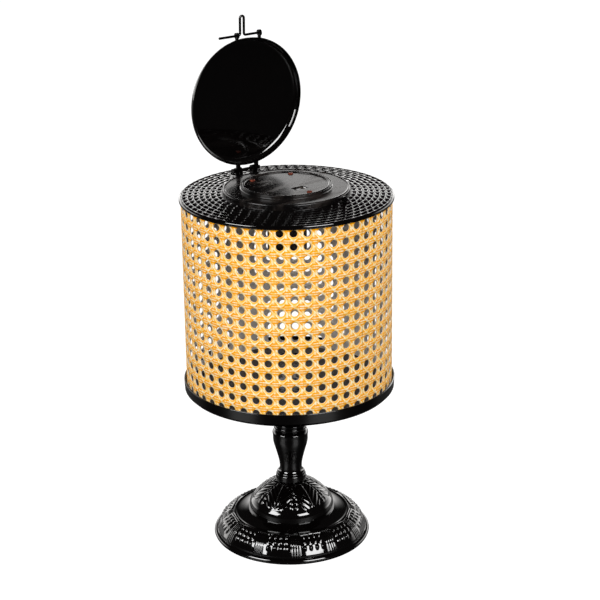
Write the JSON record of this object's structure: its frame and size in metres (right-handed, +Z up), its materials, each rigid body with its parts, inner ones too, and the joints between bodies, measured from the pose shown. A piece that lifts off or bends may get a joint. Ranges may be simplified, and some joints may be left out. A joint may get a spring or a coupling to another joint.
{
  "type": "ashtray bin",
  "caption": "Small pedestal ashtray bin: perforated cane-pattern drum in a pan, press-down ash trap, hinged cap lid with sliding wire latch.",
  "frame": {"origin": "centre of the foot on the floor", "axes": "+Z up, lid hinge towards +Y, latch towards -Y"},
  "size_m": [0.2073, 0.2074, 0.5187],
  "materials": {
    "cast_enamel": "gloss black enamel on embossed casting",
    "black_enamel": "gloss black enamel on sheet steel",
    "black_wire": "black enamel on wire, lightly worn",
    "zinc_steel": "zinc plated",
    "cane_print": "painted cane weave on perforated sheet steel",
    "copper_rivet": "plain copper-coloured rivet"
  },
  "bodies": {
    "pedestal": {"base_foot": "cast_enamel", "stem": "cast_enamel", "pan": "black_enamel", "tie_rod": "zinc_steel", "tie_nuts": "zinc_steel", "tie_washers": "zinc_steel"},
    "drum": {"cane_sheet": "cane_print", "top_plate": "black_enamel", "collar": "black_enamel", "can_bracket": "black_enamel", "spring_can": "black_enamel", "guide_plate": "black_enamel", "trap_spring": "zinc_steel", "hinge_bracket": "black_enamel", "hinge_pin": "black_wire", "latch_keeper": "black_enamel"},
    "trap": {"trap_disc": "black_enamel", "trap_spider": "black_enamel", "trap_rivets": "copper_rivet", "spindle": "zinc_steel", "stop_collar": "zinc_steel"},
    "lid": {"lid": "black_enamel", "lid_knuckles": "black_enamel", "latch_eyes": "black_enamel"},
    "bolt": {"latch_bolt": "black_wire"}
  },
  "joints": [
    {"name": "drum_lift", "type": "slide", "parent": "pedestal", "child": "drum", "axis": [0, 0, 1], "range_m": [0, 0.06]},
    {"name": "trap_press", "type": "slide", "parent": "drum", "child": "trap", "axis": [0, 0, -1], "range_m": [0, 0.011], "stiffness_N_per_m": 350, "springref_m": -0.012, "deforming": ["trap_spring"]},
    {"name": "lid_hinge", "type": "hinge", "parent": "drum", "child": "lid", "pos_m": [0, 0.0685, 0.3648], "axis": [1, 0, 0], "range_deg": [0, 88.5]},
    {"name": "latch_slide", "type": "slide", "parent": "lid", "child": "bolt", "axis": [1, 0, 0], "range_m": [0, 0.013]}
  ]
}
